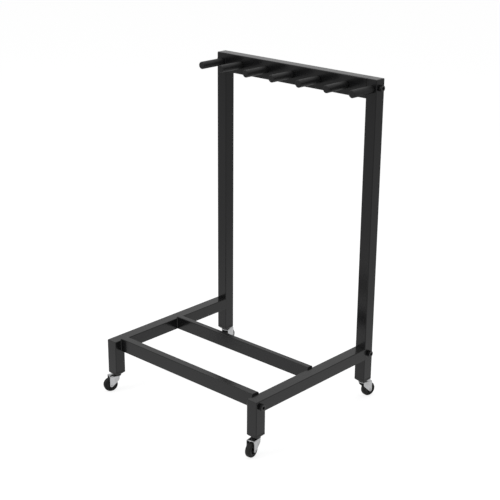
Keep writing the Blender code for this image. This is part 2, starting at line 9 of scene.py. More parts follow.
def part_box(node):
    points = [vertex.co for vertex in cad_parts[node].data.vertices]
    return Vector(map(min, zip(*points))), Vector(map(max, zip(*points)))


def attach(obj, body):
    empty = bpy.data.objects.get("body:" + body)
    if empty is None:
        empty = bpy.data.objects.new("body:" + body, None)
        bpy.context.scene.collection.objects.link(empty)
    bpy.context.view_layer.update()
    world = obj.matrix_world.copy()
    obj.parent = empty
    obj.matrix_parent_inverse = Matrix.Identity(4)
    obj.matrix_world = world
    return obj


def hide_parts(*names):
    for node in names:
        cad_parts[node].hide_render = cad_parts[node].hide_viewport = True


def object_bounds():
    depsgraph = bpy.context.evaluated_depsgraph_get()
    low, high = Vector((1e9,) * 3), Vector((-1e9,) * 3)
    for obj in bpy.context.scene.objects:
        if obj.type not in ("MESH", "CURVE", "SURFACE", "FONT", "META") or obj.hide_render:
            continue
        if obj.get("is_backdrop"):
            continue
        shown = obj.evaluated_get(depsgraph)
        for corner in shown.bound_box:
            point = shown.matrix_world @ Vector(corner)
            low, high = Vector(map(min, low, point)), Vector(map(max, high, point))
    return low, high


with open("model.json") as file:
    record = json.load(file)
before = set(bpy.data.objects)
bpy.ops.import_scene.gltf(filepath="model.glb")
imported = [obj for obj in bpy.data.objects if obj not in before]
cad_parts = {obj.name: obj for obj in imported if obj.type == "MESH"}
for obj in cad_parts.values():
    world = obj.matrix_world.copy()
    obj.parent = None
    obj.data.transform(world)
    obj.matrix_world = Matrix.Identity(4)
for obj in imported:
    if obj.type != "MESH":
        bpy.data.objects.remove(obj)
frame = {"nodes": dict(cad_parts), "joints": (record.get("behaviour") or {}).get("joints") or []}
cad_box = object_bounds()


# Camera. It looks down on the cart's front from beyond its right-hand corner, through a long lens that keeps the
# uprights nearly parallel, and it leans by less than half a degree.
CAMERA_PLACE = (1.5939, -1.7044, 1.1717)
CAMERA_TURN = 42.5587  # degrees from looking along +Y
CAMERA_DIP = 19.8129
CAMERA_LEAN = 0.4303
CAMERA_LENS = 85.505
CAMERA_FILM = 36.0

camera = bpy.data.objects.new("camera", bpy.data.cameras.new("camera"))
camera.data.lens = CAMERA_LENS
camera.data.sensor_width = CAMERA_FILM
turn = Matrix.Rotation(math.radians(CAMERA_TURN), 4, "Z")
dip = Matrix.Rotation(math.radians(90 - CAMERA_DIP), 4, "X")
lean = Matrix.Rotation(math.radians(CAMERA_LEAN), 4, "Z")
camera.matrix_world = Matrix.Translation(CAMERA_PLACE) @ turn @ dip @ lean
bpy.context.scene.collection.objects.link(camera)
bpy.context.scene.camera = camera
bpy.context.scene.view_settings.view_transform = "Standard"


# Side frames. Each is a front leg and a side rail of 26 mm square steel tube, mitred and welded at the front
# corner, ground smooth and sprayed with a satin black powder coat that flows over the edges as it cures.
TUBE_WALL = 0.0012
TUBE_CORNER = 0.0016
CORNER_STEPS = 6
MITRE_ROUND = 0.0011
MITRE_STEPS = 5
FIT = 0.0003
SHARP_EDGE = 35.0  # degrees between faces
COAT_BLACK = (0.0062, 0.0062, 0.0066, 1)
COAT_WORN = (0.020, 0.020, 0.021, 1)
COAT_ROUGHNESS = 0.2
COAT_DRIFT = 0.05
COAT_RELIEF = 0.00004
RUB_DULLS = 0.12
DUST_DULLS = 0.6
DUST_GREY = (0.30, 0.29, 0.27, 1)

leg_low, leg_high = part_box("right_front_leg")
rail_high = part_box("right_side_rail")[1]
upright_low, upright_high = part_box("right_upright")
SIDE_TUBE = leg_high.x - leg_low.x
SIDE_X = (leg_high.x + leg_low.x) / 2
LEG_Y = leg_low.y + SIDE_TUBE / 2
LEG_BOTTOM = leg_low.z
JOINT_Z = rail_high.z - SIDE_TUBE / 2
UPRIGHT_FRONT = upright_low.y
SIDES = {"left": -1, "right": 1}


def node(tree, kind, inputs=None, **settings):
    """Adds a node to a tree. An input is given a value, or the output of another node."""
    made = tree.nodes.new(kind)
    for name, value in settings.items():
        setattr(made, name, value)
    for socket, value in (inputs or {}).items():
        if isinstance(value, bpy.types.NodeSocket):
            tree.links.new(value, made.inputs[socket])
        else:
            made.inputs[socket].default_value = value
    return made


def sums(tree, operation, first, second=0.0, third=0.0):
    """The output of a Math node."""
    return node(tree, "ShaderNodeMath", {0: first, 1: second, 2: third}, operation=operation).outputs[0]


def blended(tree, factor, first, second):
    """The colour output of a Mix node."""
    mixed = node(tree, "ShaderNodeMix", {"Factor": factor, "A": first, "B": second}, data_type="RGBA")
    return mixed.outputs["Result"]


def ranged(tree, value, low, high, to_low=0.0, to_high=1.0):
    """A value smoothly mapped from one range to another."""
    inputs = {"Value": value, "From Min": low, "From Max": high, "To Min": to_low, "To Max": to_high}
    return node(tree, "ShaderNodeMapRange", inputs, interpolation_type="SMOOTHSTEP").outputs["Result"]


def spread_over(tree, value, spread, least):
    """A value between 0 and 1, spread evenly over a range that starts at its least."""
    return sums(tree, "MULTIPLY_ADD", value, spread, least)


def noise(tree, place, scale, detail=2.0, roughness=0.5):
    inputs = {"Vector": place, "Scale": scale, "Detail": detail, "Roughness": roughness}
    return node(tree, "ShaderNodeTexNoise", inputs).outputs["Fac"]


def effect(name, inputs, outputs):
    """A new shader node group with a place vector, inputs that are numbers or vectors, and outputs that are
    numbers."""
    group = bpy.data.node_groups.new(name, "ShaderNodeTree")
    group.interface.new_socket("Place", in_out="INPUT", socket_type="NodeSocketVector")
    for socket, value in inputs.items():
        kind = "NodeSocketVector" if isinstance(value, tuple) else "NodeSocketFloat"
        made = group.interface.new_socket(socket, in_out="INPUT", socket_type=kind)
        made.default_value = value
    for socket in outputs:
        group.interface.new_socket(socket, in_out="OUTPUT", socket_type="NodeSocketFloat")
    return group, group.nodes.new("NodeGroupInput").outputs, group.nodes.new("NodeGroupOutput").inputs


def place_effect(tree, group, **inputs):
    """Puts an effect into a material's tree, and gives its outputs."""
    named = {socket.replace("_", " "): value for socket, value in inputs.items()}
    return node(tree, "ShaderNodeGroup", named, node_tree=group).outputs


def flowed_skin_effect():
    """The skin of a sprayed coat or of a moulding: small waves, a finer grain, and a broad drift in its gloss."""
    group, given, made = effect(
        "flowed skin", {"Wave size": 0.002, "Grain size": 0.0004, "Grain": 0.3}, ("Height", "Drift")
    )
    waves = noise(group, given["Place"], sums(group, "DIVIDE", 1.0, given["Wave size"]), detail=1.0)
    grain = noise(group, given["Place"], sums(group, "DIVIDE", 1.0, given["Grain size"]), detail=2.0)
    height = sums(group, "MULTIPLY_ADD", grain, given["Grain"], waves)
    drift = noise(group, given["Place"], scale=14.0, detail=4.0, roughness=0.6)
    group.links.new(height, made["Height"])
    group.links.new(ranged(group, drift, low=0.3, high=0.7), made["Drift"])
    return group


def rubbed_edges_effect():
    """Where hands and floors rub an edge: the stored edge mask, broken up along its length."""
    group, given, made = effect("rubbed edges", {"Rub": 0.5}, ("Mask",))
    edge = node(group, "ShaderNodeAttribute", attribute_name="edge").outputs["Fac"]
    broken = noise(group, given["Place"], scale=45.0, detail=5.0, roughness=0.65)
    spared = sums(group, "MULTIPLY", sums(group, "SUBTRACT", 1.0, given["Rub"]), 0.6)
    rubbed = ranged(group, sums(group, "MULTIPLY", edge, broken), low=spared, high=0.75)
    group.links.new(rubbed, made["Mask"])
    return group


def settled_dust_effect():
    """Fine dust on what faces up, thicker in patches and with a few loose specks."""
    group, given, made = effect("settled dust", {"Amount": 0.5}, ("Mask",))
    normal = node(group, "ShaderNodeNewGeometry").outputs["Normal"]
    up = node(group, "ShaderNodeSeparateXYZ", {"Vector": normal}).outputs["Z"]
    patches = noise(group, given["Place"], scale=22.0, detail=4.0, roughness=0.6)
    patches = ranged(group, patches, low=0.3, high=0.75, to_low=0.35)
    specks = ranged(group, noise(group, given["Place"], scale=1100.0, detail=1.0), low=0.66, high=0.76)
    cover = spread_over(group, specks, spread=1.6, least=patches)
    facing = ranged(group, up, low=0.55, high=1.0)
    dust = sums(group, "MULTIPLY", sums(group, "MULTIPLY", facing, cover), given["Amount"])
    group.links.new(dust, made["Mask"])
    return group


flowed_skin = flowed_skin_effect()
rubbed_edges = rubbed_edges_effect()
settled_dust = settled_dust_effect()


def new_finish(name, roughness, metallic=0.0, specular=0.5):
    """A material with its shader's own sockets set, and the vector that its effects are placed by."""
    material = bpy.data.materials.new(name)
    material.use_nodes = True
    tree = material.node_tree
    shader = tree.nodes["Principled BSDF"].inputs
    shader["Roughness"].default_value = roughness
    shader["Metallic"].default_value = metallic
    shader["Specular IOR Level"].default_value = specular
    place = node(tree, "ShaderNodeTexCoord").outputs["Object"]
    return material, tree, shader, place


def raise_surface(tree, shader, height, distance):
    """Feeds a height, in units of a distance in metres, to the shader's normal."""
    bump = node(tree, "ShaderNodeBump", {"Height": height, "Distance": distance, "Strength": 1.0})
    tree.links.new(bump.outputs["Normal"], shader["Normal"])


def vary_roughness(tree, shader, value, spread, least):
    """Spreads the shader's roughness over a range, by a value between 0 and 1."""
    tree.links.new(spread_over(tree, value, spread, least), shader["Roughness"])


def satin_black_coat():
    """Powder coat: faintly wavy where it flowed, dusty on top, and rubbed grey along some of its edges."""
    material, tree, shader, place = new_finish("satin black powder coat", COAT_ROUGHNESS, specular=0.37)
    skin = place_effect(tree, flowed_skin, Place=place, Wave_size=0.0022, Grain_size=0.0005, Grain=0.25)
    rub = place_effect(tree, rubbed_edges, Place=place, Rub=0.35)["Mask"]
    dust = place_effect(tree, settled_dust, Place=place, Amount=0.02)["Mask"]
    worn = blended(tree, rub, COAT_BLACK, COAT_WORN)
    tree.links.new(blended(tree, dust, worn, DUST_GREY), shader["Base Color"])
    roughness = spread_over(tree, skin["Drift"], COAT_DRIFT, COAT_ROUGHNESS - COAT_DRIFT / 2)
    roughness = spread_over(tree, rub, RUB_DULLS, roughness)
    vary_roughness(tree, shader, dust, DUST_DULLS, roughness)
    raise_surface(tree, shader, skin["Height"], COAT_RELIEF)
    return material


coat = satin_black_coat()


def rounded_outline(width, height, corner):
    """Points round a rectangle with rounded corners about the origin, counter-clockwise."""
    points = []
    for quarter, (x, y) in enumerate(((1, -1), (1, 1), (-1, 1), (-1, -1))):
        for step in range(CORNER_STEPS + 1):
            angle = math.radians(90 * (quarter - 1 + step / CORNER_STEPS))
            across = x * (width / 2 - corner) + corner * math.cos(angle)
            along = y * (height / 2 - corner) + corner * math.sin(angle)
            points.append((across, along))
    return points


def lofted(name, rings, closed=True, looped=False):
    """A mesh through rings of points. Each ring closes on itself, or is an open row if closed is false. A looped
    mesh runs on from its last ring to its first."""
    mesh = bpy.data.meshes.new(name)
    shape = bmesh.new()
    rows = [[shape.verts.new(point) for point in ring] for ring in rings]
    if looped:
        rows.append(rows[0])
    count = len(rings[0])
    for near, far in zip(rows, rows[1:]):
        for i in range(count if closed else count - 1):
            j = (i + 1) % count
            shape.faces.new((near[i], near[j], far[j], far[i]))
    shape.to_mesh(mesh)
    shape.free()
    return mesh


def mark_edges(mesh):
    """Stores in "edge" how far each point's normal leans from the nearest axis, 1 where it leans 45 degrees."""
    mask = mesh.attributes.new("edge", "FLOAT", "POINT")
    weighted = [Vector() for _ in mesh.vertices]
    for face in mesh.polygons:
        for index in face.vertices:
            weighted[index] += face.normal * face.area
    for index, normal in enumerate(weighted):
        upright = max(abs(part) for part in normal.normalized())
        mask.data[index].value = min(1.0, (1 - upright) / (1 - math.sqrt(0.5)))


def piece(name, mesh, material, body, matrix=None, sharp=SHARP_EDGE):
    """Places a mesh as a piece of the cart, smooth but for its sharp edges, riding on a body."""
    if not mesh.materials:
        mesh.materials.append(material)
        mesh.shade_smooth()
        mesh.set_sharp_from_angle(angle=math.radians(sharp))
    made = bpy.data.objects.new(name, mesh)
    if matrix is not None:
        made.matrix_world = matrix
    bpy.context.scene.collection.objects.link(made)
    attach(made, body)
    return made


def give_wall(made, thickness):
    """Gives an open surface its wall, inward from its outer face."""
    wall = made.modifiers.new("wall", "SOLIDIFY")
    wall.thickness = thickness
    wall.offset = -1
    wall.use_even_offset = True


def flatten_shading(made):
    """Keeps flat faces flat where they meet rounded edges."""
    weighted = made.modifiers.new("shading", "WEIGHTED_NORMAL")
    weighted.mode = "FACE_AREA"
    weighted.weight = 100
    weighted.keep_sharp = True


def tube_piece(name, mesh, *nodes, matrix=None):
    """A coated tube, from the mesh of its outer faces, in the place of its CAD nodes."""
    mark_edges(mesh)
    made = piece(name, mesh, coat, "root", matrix)
    give_wall(made, TUBE_WALL)
    flatten_shading(made)
    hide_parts(*nodes)


def cope_reach(across):
    """How far a coped end reaches past an upright's flat face, to wrap the upright's rounded corner."""
    past = max(0.0, abs(across) - (SIDE_TUBE / 2 - TUBE_CORNER))
    radius = TUBE_CORNER + FIT
    return radius - math.sqrt(radius**2 - min(past, radius) ** 2)


def side_frame_rings(x):
    """Rings from the foot of the leg, round the mitred corner, to the rear end of the side rail."""
    outline = rounded_outline(SIDE_TUBE, SIDE_TUBE, TUBE_CORNER)[::-1]
    rings = [[(x + u, LEG_Y - v, LEG_BOTTOM) for u, v in outline]]
    for step in range(MITRE_STEPS + 1):
        angle = math.radians(90 * step / MITRE_STEPS)
        back = MITRE_ROUND * (1 - math.cos(angle))
        drop = MITRE_ROUND * (1 - math.sin(angle))
        rings.append([(x + u, LEG_Y - v + back, JOINT_Z + v - drop) for u, v in outline])
    rings.append([(x + u, UPRIGHT_FRONT - FIT + cope_reach(u), JOINT_Z + v) for u, v in outline])
    return rings


for side, sign in SIDES.items():
    mesh = lofted(f"{side}_side_frame", side_frame_rings(sign * SIDE_X))
    tube_piece(f"{side}_side_frame", mesh, f"{side}_front_leg", f"{side}_side_rail")


# Uprights. Each is one length of the same square tube, from its caster to the crossbar's top. Its upper end is
# capped with a welded plate and ground round, but for the edge where the crossbar meets it flush.
UPRIGHT_Y = (upright_low.y + upright_high.y) / 2
UPRIGHT_LENGTH = upright_high.z - upright_low.z


def lies_along(edge, axis):
    way = (edge.verts[1].co - edge.verts[0].co).normalized()
    return abs(way[axis]) > 0.999


def upright_mesh(sign):
    """An open box of the tube's outer faces, with its vertical edges and three edges of its top rounded."""
    mesh = bpy.data.meshes.new("upright")
    shape = bmesh.new()
    size = Matrix.Diagonal((SIDE_TUBE, SIDE_TUBE, UPRIGHT_LENGTH, 1.0))
    bmesh.ops.create_cube(shape, size=1.0, matrix=Matrix.Translation((0, 0, UPRIGHT_LENGTH / 2)) @ size)
    bmesh.ops.delete(shape, geom=[f for f in shape.faces if f.normal.z < -0.5], context="FACES_ONLY")
    rounded = [e for e in shape.edges if lies_along(e, 2)]
    top = [e for e in shape.edges if all(v.co.z > UPRIGHT_LENGTH / 2 for v in e.verts)]
    rounded += [e for e in top if lies_along(e, 0) or e.verts[0].co.x * sign > 0]
    bmesh.ops.bevel(shape, geom=rounded, offset=TUBE_CORNER, segments=CORNER_STEPS, profile=0.5, affect="EDGES")
    shape.to_mesh(mesh)
    shape.free()
    return mesh


for side, sign in SIDES.items():
    foot = Matrix.Translation((sign * SIDE_X, UPRIGHT_Y, upright_low.z))
    tube_piece(f"{side}_upright_tube", upright_mesh(sign), f"{side}_upright", matrix=foot)


# Crossbar. A taller rectangular tube between the uprights, coped at both ends to wrap their rounded corners. It is
# flush with their front faces and tops, and bolted through them into an insert in each of its ends.
bar_low, bar_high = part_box("top_crossbar")
BAR_Y = (bar_high.y + bar_low.y) / 2
BAR_Z = (bar_high.z + bar_low.z) / 2
BAR_HALF = SIDE_X - SIDE_TUBE / 2 - FIT

outline = rounded_outline(bar_high.y - bar_low.y, bar_high.z - bar_low.z, TUBE_CORNER)
ends = [
    [(sign * (BAR_HALF + cope_reach(y)), BAR_Y + y, BAR_Z + z) for y, z in outline] for sign in SIDES.values()
]
tube_piece("crossbar_tube", lofted("crossbar_tube", ends), "top_crossbar")


# Base rails. Two flat rectangular tubes stand on edge between the side frames, with their tops a few millimetres
# above the side rails' tops. Each is welded all round its ends, with a soft fillet under the coat.
FILLET = 0.0011
FILLET_STEPS = 4


def base_rail_rings(low, high):
    """Rings from one end of a rail to the other. Near each end the tube flares into its weld fillet."""
    middle_y, middle_z = (low.y + high.y) / 2, (low.z + high.z) / 2
    depth, height = high.y - low.y, high.z - low.z
    rings = []
    for sign in (-1, 1):
        flare = []
        for step in range(FILLET_STEPS + 1):
            angle = math.radians(90 * step / FILLET_STEPS)
            swell = FILLET * (1 - math.cos(angle))
            x = sign * (high.x - FILLET * (1 - math.sin(angle)))
            section = rounded_outline(depth + 2 * swell, height, TUBE_CORNER + swell)
            flare.append([(x, middle_y + y, middle_z + z) for y, z in section])
        rings += flare[::-1] if sign < 0 else flare
    return rings


for name in ("front_rail", "middle_rail"):
    tube_piece(f"{name}_tube", lofted(f"{name}_tube", base_rail_rings(*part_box(name))), name)


# Rail plugs. A moulded plug of dull recycled plastic is pushed into each end of the two base rails, and closes the
# part of the tube that stands above the side rail. The CAD solids have the right shape and get the finish.
PLUG_BLACK = (0.014, 0.014, 0.014, 1)
PLUG_SCUFFED = (0.035, 0.035, 0.034, 1)
PLUG_RELIEF = 0.00004


def mottling_effect():
    """Patches where a finish differs: scuffs, stains, finger marks or the swirls of a moulding."""
    inputs = {"Scale": 200.0, "Detail": 4.0, "Breakup": 0.6, "Start": 0.45, "Full": 0.75}
    group, given, made = effect("mottling", inputs, ("Mask",))
    patches = noise(group, given["Place"], given["Scale"], given["Detail"], given["Breakup"])
    group.links.new(ranged(group, patches, given["Start"], given["Full"]), made["Mask"])
    return group


mottling = mottling_effect()


def black_plug_plastic():
    """Recycled black plastic, as plugs and sockets are moulded from: dull, with a dry grain and pale scuffs."""
    material, tree, shader, place = new_finish("black plug plastic", 0.55, specular=0.4)
    skin = place_effect(tree, flowed_skin, Place=place, Wave_size=0.003, Grain_size=0.00035, Grain=1.0)
    scuffs = place_effect(
        tree, mottling, Place=place, Scale=260.0, Detail=6.0, Breakup=0.7, Start=0.55, Full=0.8
    )["Mask"]
    tree.links.new(blended(tree, scuffs, PLUG_BLACK, PLUG_SCUFFED), shader["Base Color"])
    vary_roughness(tree, shader, skin["Drift"], spread=0.15, least=0.48)
    raise_surface(tree, shader, skin["Height"], PLUG_RELIEF)
    return material


plug_plastic = black_plug_plastic()


def refinish(name, material):
    """Gives a node that keeps its own shape a finish."""
    for slot in frame["nodes"][name].material_slots:
        slot.material = material


for name in ("front_rail", "middle_rail"):
    for side in SIDES:
        refinish(f"{name}_{side}_plug", plug_plastic)


# Bolts. Six socket head bolts of black oxide steel. On each side one goes into the front corner, one low through
# the upright into the side rail's block, and one through its top into the crossbar. Each takes a hexagonal key.
BOLT_SEGMENTS = 72
BOLT_EDGE = 0.0008
BOLT_EDGE_STEPS = 5
BOLT_SHARP_EDGE = 28.0
KEY_ACROSS_FLATS = 0.006
KEY_DEPTH = 0.0035
KEY_MOUTH_FLARE = 1.12
KEY_MOUTH_DEPTH = 0.0003
KNURLS = 36
KNURL_DEPTH = 0.00012
BOLT_BLACK = (0.005, 0.005, 0.0055, 1)
BOLT_BROWN = (0.012, 0.0105, 0.0095, 1)
BOLT_RELIEF = 0.000012

bolt_low, bolt_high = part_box("right_front_bolt")
FRAME_HALF = SIDE_X + SIDE_TUBE / 2
HEAD_RADIUS = (bolt_high.z - bolt_low.z) / 2
HEAD_HEIGHT = bolt_high.x - FRAME_HALF - FIT


def arc(centre, radius, start, end, steps):
    """Points on an arc from one angle to another, in degrees, both ends included."""
    angles = [math.radians(start + (end - start) * step / steps) for step in range(steps + 1)]
    return [(centre[0] + radius * math.cos(a), centre[1] + radius * math.sin(a)) for a in angles]


def bolt_head_mesh(radius, height):
    """A socket head from its seat up, with a rounded rim, a fine knurl round its side and a hexagonal recess."""
    angles = [2 * math.pi * step / BOLT_SEGMENTS for step in range(BOLT_SEGMENTS)]
    rows = [(radius - BOLT_EDGE / 2, 0.0), (radius, BOLT_EDGE / 2), (radius, height - BOLT_EDGE)]
    rows += arc((radius - BOLT_EDGE, height - BOLT_EDGE), BOLT_EDGE, 15, 90, BOLT_EDGE_STEPS)
    rings = []
    for index, (reach, level) in enumerate(rows):
        ring = []
        for step, angle in enumerate(angles):
            knurl = KNURL_DEPTH if index in (1, 2) and step % (BOLT_SEGMENTS // KNURLS) else 0.0
            ring.append(((reach - knurl) * math.cos(angle), (reach - knurl) * math.sin(angle), level))
        rings.append(ring)
    flat_to_corner = math.cos(math.radians(30))
    corner = KEY_ACROSS_FLATS / 2 / flat_to_corner
    mouth = corner * KEY_MOUTH_FLARE
    rings.append([(mouth * math.cos(angle), mouth * math.sin(angle), height) for angle in angles])
    for level in (height - KEY_MOUTH_DEPTH, height - KEY_DEPTH):
        ring = []
        for angle in angles:
            from_flat = (angle + math.pi / 6) % (math.pi / 3) - math.pi / 6
            side = corner * flat_to_corner / math.cos(from_flat)
            ring.append((side * math.cos(angle), side * math.sin(angle), level))
        rings.append(ring)
    mesh = lofted("bolt_head", rings)
    shape = bmesh.new()
    shape.from_mesh(mesh)
    ends = bmesh.ops.holes_fill(shape, edges=[e for e in shape.edges if e.is_boundary])["faces"]
    bmesh.ops.poke(shape, faces=ends)
    bmesh.ops.recalc_face_normals(shape, faces=shape.faces)
    shape.to_mesh(mesh)
    shape.free()
    return mesh


def black_bolt_steel():
    """Steel blackened in a hot bath and oiled: nearly black, with a soft sheen and faint brown blooms."""
    material, tree, shader, place = new_finish("black oxide bolt steel", 0.34)
    skin = place_effect(tree, flowed_skin, Place=place, Wave_size=0.0011, Grain_size=0.0003, Grain=0.8)
    bloom = place_effect(tree, mottling, Place=place, Scale=420.0)["Mask"]
    tree.links.new(blended(tree, bloom, BOLT_BLACK, BOLT_BROWN), shader["Base Color"])
    vary_roughness(tree, shader, skin["Drift"], spread=0.12, least=0.28)
    raise_surface(tree, shader, skin["Height"], BOLT_RELIEF)
    return material


bolt_steel = black_bolt_steel()
bolt_head = bolt_head_mesh(HEAD_RADIUS, HEAD_HEIGHT)
for side, sign in SIDES.items():
    outward = Matrix.Rotation(math.radians(90 * sign), 4, "Y")
    for name in ("front_bolt", "rear_bolt", "crossbar_bolt"):
        low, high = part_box(f"{side}_{name}")
        seat = Matrix.Translation((sign * (FRAME_HALF + FIT), (low.y + high.y) / 2, (low.z + high.z) / 2)) @ outward
        made = piece(f"{side}_{name}_head", bolt_head, bolt_steel, "root", seat, BOLT_SHARP_EDGE)
        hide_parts(f"{side}_{name}")


# Blocks and inserts. Sawn blocks of cold drawn steel sit inside the corners of the side frames and the ends of the
# crossbar, and take the bolts' threads. They are out of sight, so the CAD solids stay and get the finish.
STEEL_BRIGHT = (0.42, 0.42, 0.43, 1)
STEEL_OXIDE = (0.22, 0.21, 0.20, 1)
STEEL_RELIEF = 0.00001


def drawn_lines_effect():
    """Fine lines that rolling or drawing leaves in metal. They run along the axis with the smallest number."""
    inputs = {"Crowding": (1.0, 0.04, 1.0), "Scale": 1800.0, "Breakup": 0.6}
    group, given, made = effect("drawn lines", inputs, ("Lines",))
    crowded = node(group, "ShaderNodeMapping", {"Vector": given["Place"], "Scale": given["Crowding"]})
    lines = noise(group, crowded.outputs["Vector"], given["Scale"], detail=3.0, roughness=given["Breakup"])
    group.links.new(lines, made["Lines"])
    return group


drawn_lines = drawn_lines_effect()


def plain_block_steel():
    """Cold drawn steel as it comes off the saw: bright, with fine drawing lines along it and a little grey oxide."""
    material, tree, shader, place = new_finish("cold drawn block steel", 0.38, metallic=1.0)
    lines = place_effect(tree, drawn_lines, Place=place)["Lines"]
    oxide = place_effect(tree, mottling, Place=place, Scale=120.0, Detail=5.0, Full=0.8)["Mask"]
    tree.links.new(blended(tree, oxide, STEEL_BRIGHT, STEEL_OXIDE), shader["Base Color"])
    vary_roughness(tree, shader, lines, spread=0.25, least=0.25)
    raise_surface(tree, shader, lines, STEEL_RELIEF)
    return material


block_steel = plain_block_steel()
for side in SIDES:
    for name in ("front_block", "rear_block", "crossbar_insert"):
        refinish(f"{side}_{name}", block_steel)


# Pegs. Seven black plastic bars, each moulded over a steel stud that screws through the crossbar's front wall, or
# through an upright's at the ends. Each has a blunt end with a rounded rim and a faint line where its mould parted.
PEG_SEGMENTS = 96
PEG_RIM = 0.0018
PEG_RIM_STEPS = 8
PEG_COUNT = 7
PEG_BLACK = (0.0115, 0.0115, 0.0118, 1)
PEG_RELIEF = 0.00002
FLASH_WIDTH = 0.00018
FLASH_HEIGHT = 4.0  # in units of the peg's relief

peg_low, peg_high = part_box("peg_1")
PEG_RADIUS = (peg_high.x - peg_low.x) / 2
PEG_LENGTH = UPRIGHT_FRONT - peg_low.y


def turned(name, profile, segments):
    """A profile of (radius, height) points turned about Z. It starts and ends on the axis, or closes as a ring."""
    mesh = bpy.data.meshes.new(name)
    shape = bmesh.new()
    angles = [2 * math.pi * step / segments for step in range(segments)]
    rows = []
    for radius, height in profile:
        if radius == 0:
            rows.append([shape.verts.new((0, 0, height))] * segments)
        else:
            rows.append([shape.verts.new((radius * math.cos(a), radius * math.sin(a), height)) for a in angles])
    if profile[0][0] > 0:
        rows.append(rows[0])
    for upper, lower in zip(rows, rows[1:]):
        for i in range(segments):
            j = (i + 1) % segments
            corners = dict.fromkeys((upper[i], lower[i], lower[j], upper[j]))
            if len(corners) > 2:
                shape.faces.new(corners)
    shape.to_mesh(mesh)
    shape.free()
    return mesh


def peg_mesh():
    """A peg along +Z, from the face that it stands on to its rounded blunt end."""
    profile = [(0, PEG_LENGTH)]
    profile += arc((PEG_RADIUS - PEG_RIM, PEG_LENGTH - PEG_RIM), PEG_RIM, 90, 0, PEG_RIM_STEPS)
    profile += [(PEG_RADIUS, FIT * 2), (PEG_RADIUS - FIT, FIT), (0, FIT)]
    return turned("peg", profile, PEG_SEGMENTS)


def black_peg_plastic():
    """Moulded plastic with a soft sheen that hands have polished in patches, and the flash line along both sides."""
    material, tree, shader, place = new_finish("black peg plastic", 0.45, specular=0.25)
    skin = place_effect(tree, flowed_skin, Place=place, Wave_size=0.005, Grain_size=0.0006, Grain=0.15)
    dust = place_effect(tree, settled_dust, Place=place, Amount=0.012)["Mask"]
    tree.links.new(blended(tree, dust, PEG_BLACK, DUST_GREY), shader["Base Color"])
    across = node(tree, "ShaderNodeSeparateXYZ", {"Vector": place}).outputs["Y"]
    flash = ranged(tree, sums(tree, "ABSOLUTE", across), low=0.0, high=FLASH_WIDTH, to_low=1.0, to_high=0.0)
    unhandled = place_effect(tree, mottling, Place=place, Scale=70.0, Start=0.4, Full=0.7)["Mask"]
    roughness = spread_over(tree, unhandled, spread=0.08, least=0.42)
    vary_roughness(tree, shader, dust, DUST_DULLS, roughness)
    raise_surface(tree, shader, sums(tree, "MULTIPLY_ADD", flash, FLASH_HEIGHT, skin["Height"]), PEG_RELIEF)
    return material


peg_plastic = black_peg_plastic()
peg = peg_mesh()
forward = Matrix.Rotation(math.radians(90), 4, "X")
for number in range(1, PEG_COUNT + 1):
    low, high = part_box(f"peg_{number}")
    seat = Matrix.Translation(((low.x + high.x) / 2, UPRIGHT_FRONT, (low.z + high.z) / 2))
    made = piece(f"peg_{number}_bar", peg, peg_plastic, "root", seat @ forward)
    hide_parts(f"peg_{number}")


# Feet. A moulded foot of the plugs' plastic is pressed into the lower end of each leg and upright. Its rim is as
# wide as the tube and chamfered underneath. It is bored for the caster's stem and hollowed for the stem's collar.
FOOT_BOTTOM = 0.0388
FOOT_CHAMFER = 0.004
FOOT_SOFTNESS = 0.0007
FOOT_PLUG_EDGE = 0.001
STEM_RADIUS = 0.004
COLLAR_RADIUS = 0.0065
COLLAR_HEIGHT = 0.0048
CORNERS = ("front_left", "front_right", "rear_right", "rear_left")

joints = {joint["name"]: joint for joint in frame["joints"]}


def caster_place(corner):
    """The place and turn of a caster: its stem stands over the origin, and its wheel trails towards +X."""
    stem = Vector(joints[f"{corner}_swivel"]["pos_m"])
    axle = Vector(joints[f"{corner}_roll"]["pos_m"])
    trail = (axle - stem).xy
    turn = Matrix.Rotation(math.atan2(trail.y, trail.x), 4, "Z")
    return Matrix.Translation((stem.x, stem.y, 0)) @ turn


def caster_box(name):
    """A front left caster node's lowest and highest corners, in the caster's own place."""
    inward = caster_place("front_left").inverted()
    points = [inward @ vertex.co for vertex in frame["nodes"][f"front_left_{name}"].data.vertices]
    return [Vector(edge(point[axis] for point in points) for axis in range(3)) for edge in (min, max)]


bearing_low, bearing_high = caster_box("bearing")


def foot_mesh(top):
    """The foot about its own axis, from the edge of its underside, up its rim and its plug, and down its bore."""
    rim_top = LEG_BOTTOM - FIT
    shoulder = FOOT_BOTTOM + FOOT_CHAMFER
    sole = SIDE_TUBE - 2 * FOOT_CHAMFER
    plug = SIDE_TUBE - 2 * (TUBE_WALL + FIT)
    half = FOOT_SOFTNESS / 2
    rows = [(sole - 2 * half, FOOT_BOTTOM), (sole + half, FOOT_BOTTOM + half)]
    rows += [(SIDE_TUBE - 2 * half, shoulder - half), (SIDE_TUBE - half / 2, shoulder), (SIDE_TUBE, shoulder + half)]
    rows += [(SIDE_TUBE, rim_top - FIT), (SIDE_TUBE - 2 * FIT, rim_top)]
    rows += [(plug, rim_top), (plug, top - FOOT_PLUG_EDGE), (plug - FOOT_PLUG_EDGE, top)]
    rings = [[(x, y, z) for x, y in rounded_outline(width, width, TUBE_CORNER)] for width, z in rows]
    around = [(x / math.hypot(x, y), y / math.hypot(x, y)) for x, y, _ in rings[0]]
    bore, well = STEM_RADIUS + FIT, COLLAR_RADIUS + FIT
    well_top = bearing_high.z + COLLAR_HEIGHT + 2 * FIT
    for radius, z in ((bore, top), (bore, well_top), (well, well_top), (well, FOOT_BOTTOM)):
        rings.append([(radius * x, radius * y, z) for x, y in around])
    return lofted("foot", rings, looped=True)


